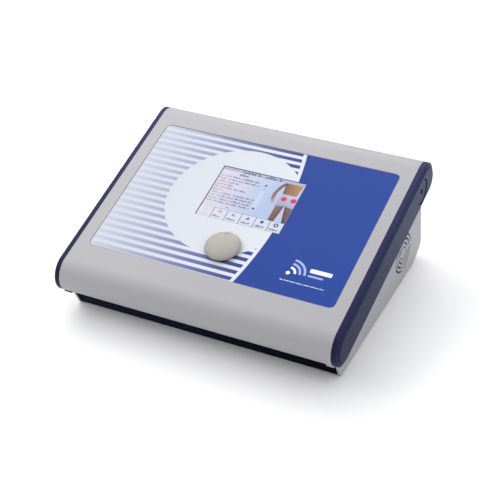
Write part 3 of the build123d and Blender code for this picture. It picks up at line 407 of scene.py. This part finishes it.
def screen_material():
    """The lit picture behind the touch glass: vertex colours, a fine pixel grid, a glossy front."""
    t = Tree("screen_picture")
    a = t.node("ShaderNodeVertexColor", layer_name="ink")
    x, v = panel_coords(t)
    grid = t.m("MULTIPLY", t.m("SINE", t.m("MULTIPLY", x, 2 * math.pi / 0.36)), t.m("SINE", t.m("MULTIPLY", v, 2 * math.pi / 0.36)))
    tone = t.m("ADD", t.span(grid, -1.0, 1.0, 0.0, 0.5), t.span(t.noise(80.0, 3.0, 0.6), 0.3, 0.7, 0.0, 0.5))
    col = t.mix(t.span(tone, 0.0, 1.0, 0.0, 0.06), a.outputs["Color"], srgb(120, 130, 175))
    t.put(t.bsdf.inputs["Base Color"], t.mix(1.0, col, (0.26, 0.26, 0.26, 1), "MULTIPLY"))
    t.put(t.bsdf.inputs["Emission Color"], col)
    t.bsdf.inputs["Emission Strength"].default_value = 0.60
    t.bsdf.inputs["Specular IOR Level"].default_value = 0.25
    t.put(t.bsdf.inputs["Roughness"], t.span(t.noise(45.0, 5.0, 0.7), 0.35, 0.75, 0.16, 0.26))
    return t.mat


def print_material(name):
    """Screen-printed ink: vertex colours with a little unevenness."""
    t = Tree(name)
    a = t.node("ShaderNodeVertexColor", layer_name="ink")
    cloud = t.noise(900.0, 3.0, 0.6)
    col = t.mix(t.span(cloud, 0.3, 0.7, 0.0, 0.08), a.outputs["Color"], srgb(150, 155, 175))
    t.put(t.bsdf.inputs["Base Color"], col)
    t.put(t.bsdf.inputs["Roughness"], t.span(cloud, 0.3, 0.7, 0.40, 0.50))
    t.put(t.bsdf.inputs["Normal"], t.bump(cloud, 0.05, 0.00002))
    return t.mat


# screen values, before the light is on them
INK = {
    "paper": (232, 236, 254),
    "disc": (230, 234, 243),
    "blue": (44, 74, 158),
    "stripes": [(-165, (216, 219, 231)), (-155, (209, 213, 226)), (-135, (197, 202, 219)), (-118, (186, 191, 212)),
                (-98, (176, 179, 203)), (-55, (142, 147, 184)), (-25, (117, 125, 171)), (5, (94, 103, 157)), (27, (74, 85, 142)), (50, (58, 74, 142))],
}

MAT = {
    # the cover's left lug carries painted shade
    "cover_grey": plastic("cover_grey", srgb(164, 163, 167), rough=0.46, grain_mm=0.5, grain=0.10, mottle=0.012, edge=0.05, spec=0.3, zone=left_lug_painted_shade),
    "inner_plastic": plastic("inner_plastic", srgb(170, 171, 175), rough=0.5, grain=0.2),
    # the caps carry painted shade at the front and painted light at the rear
    "cap_navy": plastic("cap_navy", srgb(42, 47, 81), rough=0.42, grain_mm=0.5, grain=0.14, mottle=0.04, edge=0.08, edge_r=0.0006, spec=0.07, zone=cap_painted_shading),
    # the strip carries painted light and shade along its length
    "strip_navy": plastic("strip_navy", srgb(24, 25, 46), rough=0.7, grain=0.12, mottle=0.05, edge=0.04, spec=0.05, zone=strip_painted_shading),
    # the base's inner walls carry painted shade
    "base_grey": plastic("base_grey", srgb(164, 163, 167), rough=0.50, grain_mm=0.6, grain=0.16, mottle=0.015, edge=0.06, zone=inner_wall_painted_shade),
    "overlay_print": overlay_material(),
    "touch_glass": plastic("touch_glass", srgb(40, 44, 58), rough=0.12, grain=0.01, mottle=0.03, edge=0.02, coat=0.5, coat_rough=0.05),
    "lcd_metal": metal("lcd_metal", srgb(175, 177, 182), rough=0.35, brushed=(0.05, 1, 1)),
    "plated_steel": metal("plated_steel", srgb(185, 187, 190), rough=0.38, brushed=(0.05, 1, 1)),
    "screw_steel": metal("screw_steel", srgb(178, 178, 180), rough=0.30, scale=1500, tarnish=0.2),
    "shaft_aluminium": metal("shaft_aluminium", srgb(205, 206, 210), rough=0.25, brushed=(1, 1, 0.05), scale=2200),
    "knob_cream": plastic("knob_cream", srgb(163, 160, 152), rough=0.55, grain_mm=0.35, grain=0.10, mottle=0.015, edge=0.05, edge_r=0.0006, spec=0.35),
    "black_plastic": plastic("black_plastic", srgb(24, 25, 27), rough=0.5, grain=0.25, edge=0.08, dust=0.03, spec=0.15),
    "rocker_black": plastic("rocker_black", srgb(26, 27, 30), rough=0.22, grain=0.03, edge=0.05, coat=0.3),
    "fan_black": plastic("fan_black", srgb(24, 25, 27), rough=0.45, grain=0.1, edge=0.05, dust=0.06, spec=0.15),
    "contact_brass": metal("contact_brass", srgb(212, 178, 104), rough=0.25, scale=1500),
    "circuit_board": board_material("circuit_board"),
    "chip_black": plastic("chip_black", srgb(38, 39, 42), rough=0.55, grain=0.3, grain_mm=0.2, edge=0.05),
    "capacitor_can": metal("capacitor_can", srgb(96, 100, 120), rough=0.35),
    "connector_ivory": plastic("connector_ivory", srgb(222, 216, 198), rough=0.4, grain=0.08),
    "rear_metal": plastic("rear_metal", srgb(94, 97, 104), rough=0.52, grain_mm=0.9, grain=0.45, mottle=0.04, edge=0.14),
    "plate_label": metal("plate_label", srgb(208, 210, 214), rough=0.32, brushed=(0.03, 1, 1), scale=1400),
    "foot_rubber": plastic("foot_rubber", srgb(40, 40, 42), rough=0.78, grain_mm=0.4, grain=0.35, mottle=0.08, edge=0.06, spec=0.3, dust=0.15),
    "fuse_glass": plastic("fuse_glass", srgb(214, 222, 226), rough=0.10, grain=0.0, mottle=0.02, edge=0.0, coat=0.6),
    "transformer_core": plastic("transformer_core", srgb(82, 76, 70), rough=0.5, grain=0.4, grain_mm=0.3),
    "heatsink_aluminium": metal("heatsink_aluminium", srgb(190, 192, 196), rough=0.4, brushed=(0.05, 1, 1)),
    "coil_copper": metal("coil_copper", srgb(196, 116, 66), rough=0.3, brushed=(1, 1, 6), scale=600),
    "ribbon_film": plastic("ribbon_film", srgb(226, 224, 214), rough=0.35, grain=0.02),
    "lead_rubber": plastic("lead_rubber", srgb(52, 52, 56), rough=0.6, grain=0.2, edge=0.02),
}

slot_of = {s["node"]: s["material_slot"] for s in record["subparts"]}
for name, obj in nodes.items():
    obj.data.materials.clear()
    obj.data.materials.append(MAT[slot_of[name]])


# ------------------------------------------------------------------ flat printed work
class Print:
    """Flat coloured polygons in panel coordinates, each on its own thin layer."""

    def __init__(self, name, place, material):
        self.name, self.place, self.material = name, place, material
        self.bm = bmesh.new()
        self.ink = self.bm.loops.layers.float_color.new("ink")
        self.layer = 0

    def poly(self, points, colour, colours=None, lift=None):
        verts = [self.bm.verts.new(self.place(x, y, self.layer if lift is None else lift)) for x, y in points]
        face = self.bm.faces.new(verts)
        for i, loop in enumerate(face.loops):
            loop[self.ink] = srgb(*(colours[i] if colours else colour))
        return face

    def rect(self, x0, y0, x1, y1, colour, r=0.0, colours=None):
        if r <= 0:
            return self.poly([(x0, y0), (x1, y0), (x1, y1), (x0, y1)], colour, colours)
        pts = []
        for cx, cy, a0 in ((x1 - r, y0 + r, -90), (x1 - r, y1 - r, 0), (x0 + r, y1 - r, 90), (x0 + r, y0 + r, 180)):
            for k in range(7):
                a = math.radians(a0 + 15 * k)
                pts.append((cx + r * math.cos(a), cy + r * math.sin(a)))
        return self.poly(pts, colour)

    def disc(self, x, y, r, colour, n=36, sx=1.0):
        return self.poly([(x + sx * r * math.cos(2 * math.pi * k / n), y + r * math.sin(2 * math.pi * k / n)) for k in range(n)], colour)

    def ring(self, x, y, r0, r1, a0, a1, colour, n=24):
        for k in range(n):
            t0, t1 = (math.radians(a0 + (a1 - a0) * (k + j) / n) for j in (0, 1))
            self.poly([(x + r0 * math.cos(t0), y + r0 * math.sin(t0)), (x + r1 * math.cos(t0), y + r1 * math.sin(t0)),
                       (x + r1 * math.cos(t1), y + r1 * math.sin(t1)), (x + r0 * math.cos(t1), y + r0 * math.sin(t1))], colour)

    def words(self, x0, x1, y, h, colour, seed, word=(4, 9)):
        """A row of plain marks grouped like words; no mark is a letter."""
        k, x, s = seed * 7919 + 17, x0, max(0.5, h * 0.34)
        while x < x1:
            k = (k * 1103515245 + 12345) & 0x7FFFFFFF
            n = word[0] + (k >> 8) % (word[1] - word[0])
            for _ in range(n):
                k = (k * 1103515245 + 12345) & 0x7FFFFFFF
                hh = h * (0.62 + 0.38 * ((k >> 10) % 2))
                if x + s > x1:
                    break
                self.rect(x, y - h / 2, x + s, y - h / 2 + hh, colour)
                x += s * 1.55
            x += s * 1.9

    def done(self, body):
        mesh = bpy.data.meshes.new(self.name)
        bmesh.ops.recalc_face_normals(self.bm, faces=[])
        self.bm.to_mesh(mesh)
        self.bm.free()
        obj = bpy.data.objects.new(self.name, mesh)
        scene.collection.objects.link(obj)
        mesh.materials.append(self.material)
        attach(obj, body)
        return obj


glass_n = -1.1  # the glass's front face
layer_mm = 0.006
pic = Print("screen_picture", lambda x, v, k: P(x, v, glass_n + 0.02 + layer_mm * k), screen_material())

X0, X1, V0, V1 = -57.75, 57.75, -24.05, 62.65
DARK = (30, 34, 74)
# backdrop in columns, so that the gradient runs from the left to the right
cols = [(X0, (224, 220, 234)), (-20, (210, 212, 234)), (6, (190, 202, 234)), (22, (178, 200, 236)), (X1, (196, 206, 236))]
for (xa, ca), (xb, cb) in zip(cols, cols[1:]):
    pic.poly([(xa, V0), (xb, V0), (xb, V1), (xa, V1)], None, colours=[ca, cb, cb, ca])
pic.layer = 1
pic.rect(X0, V1 - 5.6, X1, V1, (176, 180, 212))
pic.layer = 2
pic.words(-29, -3, 59.4, 4.4, DARK, 3, (8, 10))
pic.words(3, 28, 59.4, 4.4, DARK, 11, (7, 9))
pic.words(-31, -16, 53.4, 3.8, (52, 56, 92), 5, (6, 8))
for i, (y, xe) in enumerate(((47.6, -1), (42.6, 1), (37.6, -24), (32.8, -31), (27.8, -11), (23.0, -40),
                             (18.2, 5), (13.2, 5), (8.2, 5), (3.4, 5))):
    # faint towards the left, as on the backdrop's pale side
    for xa, xb, tone in ((-55, -38, (168, 158, 178)), (-38, -20, (118, 116, 146)), (-20, xe, (56, 60, 96))):
        if xb > xa and xa < xe:
            pic.words(xa, min(xb, xe), y, 3.0, tone, 20 + 3 * i + int(xa) % 3, (3, 8))
pic.words(-25, -20, -3.2, 2.0, (110, 114, 142), 40)
# scroll column
pic.layer = 1
pic.rect(6.2, 0.4, 12.2, 50.4, (196, 216, 244))
pic.layer = 2
pic.poly([(6.8, 44.0), (11.6, 44.0), (9.2, 48.8)], (58, 84, 130))
pic.rect(6.8, 36.0, 11.6, 42.6, (168, 198, 238))
pic.poly([(6.8, 6.8), (9.2, 2.0), (11.6, 6.8)], (58, 84, 130))
# a schematic lower body made of plain shapes, with two treatment spots
pic.layer = 1
pic.poly([(33.0, 57.4), (55.8, 57.4), (53.6, 38.0), (35.2, 38.0)], None, colours=[(120, 76, 34), (188, 140, 74), (176, 126, 70), (128, 80, 42)])
pic.poly([(34.0, 21.0), (44.8, 21.0), (41.4, -6.6), (34.2, -6.6)], None, colours=[(152, 104, 88), (128, 82, 70), (92, 54, 48), (120, 74, 62)])
pic.poly([(46.2, 21.0), (57.4, 21.0), (57.7, -6.6), (52.6, -6.6)], None, colours=[(120, 74, 62), (140, 92, 78), (104, 62, 54), (66, 36, 34)])
arm = [(31.0, 57.4), (26.2, 50.0), (22.8, 38.0), (23.2, 28.0), (27.6, 20.6), (30.4, 22.0), (27.8, 31.0), (27.8, 40.0), (30.8, 48.0), (34.4, 55.0)]
pic.poly(arm, None, colours=[(112, 70, 56), (134, 92, 80), (140, 98, 88), (156, 112, 100), (182, 146, 138), (206, 176, 168), (160, 116, 104), (126, 82, 72), (104, 62, 52), (84, 48, 38)])
pic.layer = 2
pic.poly([(32.6, 57.4), (34.6, 57.4), (36.2, 46.0), (35.8, 38.2), (35.0, 38.2), (34.0, 47.0)], (70, 42, 26))
pic.poly([(43.9, 21.0), (45.2, 21.0), (42.2, -6.6), (40.4, -6.6)], (84, 48, 42))
pic.poly([(46.0, 21.0), (47.6, 21.0), (54.0, -6.6), (52.4, -6.6)], (50, 28, 30))
pic.poly([(34.4, 38.8), (55.0, 38.8), (57.5, 30.0), (57.7, 18.4), (46.8, 19.6), (45.2, 24.4), (43.6, 19.6), (32.8, 18.4), (33.0, 30.0)], None,
         colours=[(184, 188, 226), (206, 210, 240), (200, 204, 238), (170, 176, 222), (160, 168, 216), (168, 174, 220), (158, 166, 214), (150, 164, 216), (168, 178, 222)])
pic.layer = 3
for sx in (40.0, 53.0):
    pic.disc(sx, 31.0, 5.0, (228, 150, 166))
pic.layer = 4
for sx in (40.0, 53.0):
    pic.disc(sx, 31.0, 3.5, (208, 52, 70))
pic.layer = 5
for sx in (40.0, 53.0):
    pic.disc(sx, 31.0, 1.5, (150, 32, 56))
# the six keys along the foot of the picture
edges = [X0, -38.5, -19.3, 0.2, 19.8, 39.0, X1]
for i, (xa, xb) in enumerate(zip(edges, edges[1:])):
    pic.layer = 3
    pic.rect(xa, V0, xb, -6.8, (168, 172, 200) if i == 0 else (70, 74, 112))
    pic.layer = 4
    pic.rect(xa + (0.85 if i else 0.0), V0 + 0.7, xb, -7.2, (226, 226, 240) if i < 2 else (222, 226, 243))
    pic.layer = 5
    xm = (xa + xb) / 2
    tone = ((206, 196, 210), (120, 120, 152), (104, 108, 144), (96, 92, 130), (36, 56, 116), (30, 40, 96))[i]
    if i == 0:
        pic.ring(xm, -12.0, 1.5, 2.5, 0, 360, tone)
    elif i == 1:
        pic.ring(xm, -12.0, 1.3, 2.5, -60, 200, tone)
    elif i == 2:
        pic.rect(xm - 2.4, -13.8, xm + 2.4, -12.4, tone)
        pic.rect(xm - 2.4, -11.6, xm + 0.8, -10.2, tone)
    elif i == 3:
        pic.poly([(xm - 2.6, -13.6), (xm - 0.4, -14.6), (xm + 2.6, -10.2), (xm + 0.4, -9.4)], tone)
        pic.disc(xm + 1.8, -13.6, 1.0, (190, 96, 110))
    elif i == 4:
        pic.poly([(xm - 2.8, -12.4), (xm, -15.0), (xm + 2.8, -12.4), (xm + 1.2, -9.8), (xm - 1.2, -9.8)], tone)
    else:
        pic.ring(xm, -12.0, 1.6, 3.2, 0, 360, tone)
    pic.words(xm - 6.4, xm + 6.4, -19.4, 3.2, ((206, 198, 210), (104, 104, 134), (74, 78, 108), (60, 62, 94), (52, 56, 90), (44, 46, 82))[i], 60 + i, (6, 9))
# painted shade: dark lines along the picture's left edge and the left part of its top, where the window's edge shades
# it; lighter lines along the rest of its top, its foot and its right edge
pic.layer = 6
w = 0.8
pic.rect(X0, V0, X0 + w + 0.2, V1, (44, 46, 74))
pic.rect(X0, V1 - w, 4.0, V1, (52, 54, 82))
pic.rect(4.0, V1 - w, X1, V1, (110, 118, 156))
pic.rect(X0, V0, X1, V0 + 0.7, (96, 100, 130))
pic.rect(X1 - 0.5, V0, X1, V1, (170, 176, 206))
pic.done("console")

# a plain generic mark on the blue field: a dot with three quarter waves, and blank bars
mark = Print("panel_mark", lambda x, v, k: P(x, v, -0.4 + 0.012 + layer_mm * k), print_material("white_ink"))
WHITE, HAZE = (236, 240, 250), (150, 164, 214)
mark.disc(93.0, -76.5, 2.6, WHITE)
for r in (7.0, 13.0, 19.0):
    mark.ring(93.0, -76.5, r, r + 3.0, 4, 86, HAZE if r > 8 else WHITE)
mark.rect(117.5, -68.6, 145.5, -62.6, WHITE, r=1.6)
mark.rect(117.5, -75.2, 137.0, -72.4, HAZE, r=1.0)
mark.words(87.5, 144.5, -88.0, 1.5, WHITE, 77, (5, 12))
mark.done("console")

# line and ring on the mains rocker, at rest with its lower half pressed in
ax, ay, az_ = -0.136, 0.1325, 0.050
ca, sa = math.cos(math.radians(8.0)), math.sin(math.radians(8.0))


def on_rocker(x, y, k):
    depth = 4.2 + 1.4 * abs(y) / 10.2 + 0.03 + layer_mm * k
    return Vector((ax + x / 1000, ay + (depth * ca - y * sa) / 1000, az_ + (depth * sa + y * ca) / 1000))


marks = Print("rocker_marks", on_rocker, print_material("rocker_ink"))
marks.rect(-0.45, 4.6, 0.45, 8.4, (226, 228, 232))
marks.ring(0.0, -6.4, 1.3, 1.95, 0, 360, (226, 228, 232))
marks.done("rocker")

# blank bars and boxes on the rating plate: no words, no figures
plate = Print("plate_marks", lambda x, y, k: Vector((0.010 - x / 1000, 0.1344 + (0.02 + layer_mm * k) / 1000, 0.050 + y / 1000)), print_material("plate_ink"))
plate.rect(-33.5, 10.5, 33.5, 11.1, (60, 62, 68))
for k, (ya, xe) in enumerate(((14.6, 2.0), (6.4, 20.0), (2.2, 12.0), (-2.0, 16.0), (-6.2, 4.0))):
    plate.rect(-32.0, ya - (0.6 if k else 1.1), xe, ya + (0.6 if k else 1.1), (84, 86, 92))
for k in range(3):
    plate.rect(-32.0 + 11.0 * k, -17.0, -24.0 + 11.0 * k, -16.4, (66, 68, 74))
    plate.rect(-32.0 + 11.0 * k, -10.6, -24.0 + 11.0 * k, -10.0, (66, 68, 74))
    plate.rect(-32.0 + 11.0 * k, -17.0, -31.4 + 11.0 * k, -10.0, (66, 68, 74))
    plate.rect(-24.6 + 11.0 * k, -17.0, -24.0 + 11.0 * k, -10.0, (66, 68, 74))
plate.done("console")

# ------------------------------------------------------------------ floor, lights
floor_mesh = bpy.data.meshes.new("floor")
bm = bmesh.new()
bmesh.ops.create_grid(bm, x_segments=16, y_segments=16, size=30.0)
bm.to_mesh(floor_mesh)
bm.free()
floor = bpy.data.objects.new("floor", floor_mesh)
scene.collection.objects.link(floor)
ft = Tree("floor_paper")
ft.put(ft.bsdf.inputs["Base Color"], ft.mix(ft.span(ft.noise(3.0, 3.0, 0.5), 0.3, 0.7, 0.0, 1.0), (0.945, 0.945, 0.95, 1), (0.96, 0.96, 0.965, 1)))
ft.bsdf.inputs["Roughness"].default_value = 0.9
ft.bsdf.inputs["Specular IOR Level"].default_value = 0.1
floor_mesh.materials.append(ft.mat)
floor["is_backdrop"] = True

world = bpy.data.worlds.new("studio")
world.use_nodes = True
wt = world.node_tree
bg = wt.nodes["Background"]


def sky(kind, a, b=None, **props):
    n = wt.nodes.new(kind)
    for key, val in props.items():
        setattr(n, key, val)
    for k, x in enumerate((a, b)):
        if x is None:
            continue
        if hasattr(x, "is_output"):
            wt.links.new(x, n.inputs[k])
        else:
            n.inputs[k].default_value = x
    return n


# a soft tent of light: strongest overhead, with some from the right
ray = wt.nodes.new("ShaderNodeTexCoord").outputs["Generated"]
axes = wt.nodes.new("ShaderNodeSeparateXYZ")
wt.links.new(ray, axes.inputs[0])
high = sky("ShaderNodeMath", sky("ShaderNodeMath", axes.outputs[2], 0.0, operation="MAXIMUM").outputs[0], SKY_TOP, operation="MULTIPLY")
east = sky("ShaderNodeMath", sky("ShaderNodeMath", axes.outputs[0], 0.0, operation="MAXIMUM").outputs[0], SKY_RIGHT, operation="MULTIPLY")
total = sky("ShaderNodeMath", sky("ShaderNodeMath", high.outputs[0], east.outputs[0], operation="ADD").outputs[0], SKY_LOW, operation="ADD")
# seen directly, past the floor's far edge, it is never darker than the floor there
seen = sky("ShaderNodeMath", wt.nodes.new("ShaderNodeLightPath").outputs["Is Camera Ray"], 0.81, operation="MULTIPLY")
shown = sky("ShaderNodeMath", total.outputs[0], seen.outputs[0], operation="MAXIMUM")
wt.links.new(shown.outputs[0], bg.inputs[1])
bg.inputs[0].default_value = (0.985, 0.988, 1.0, 1)
scene.world = world


def area(name, at, aim, size, power, colour=(1, 1, 1), size_y=None):
    d = bpy.data.lights.new(name, "AREA")
    d.energy, d.size, d.color = power, size, colour
    if size_y:
        d.shape, d.size_y = "RECTANGLE", size_y
    o = bpy.data.objects.new(name, d)
    scene.collection.objects.link(o)
    o.location = at
    o.rotation_euler = (Vector(aim) - Vector(at)).to_track_quat("-Z", "Y").to_euler()
    o.visible_camera = False
    return o


area("key", (-1.0, 0.5, 1.2), (0, 0, 0.08), 1.0, 7.8, (1.0, 0.995, 0.98))
area("back", (-0.2, 0.9, 0.9), (0, 0, 0.08), 0.8, 5.6)
area("left", (-1.0, -0.6, 1.0), (0, 0, 0.08), 0.8, 4.2)

scene.view_settings.view_transform = "Standard"
scene.view_settings.look = "None"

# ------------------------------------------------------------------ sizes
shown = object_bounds()
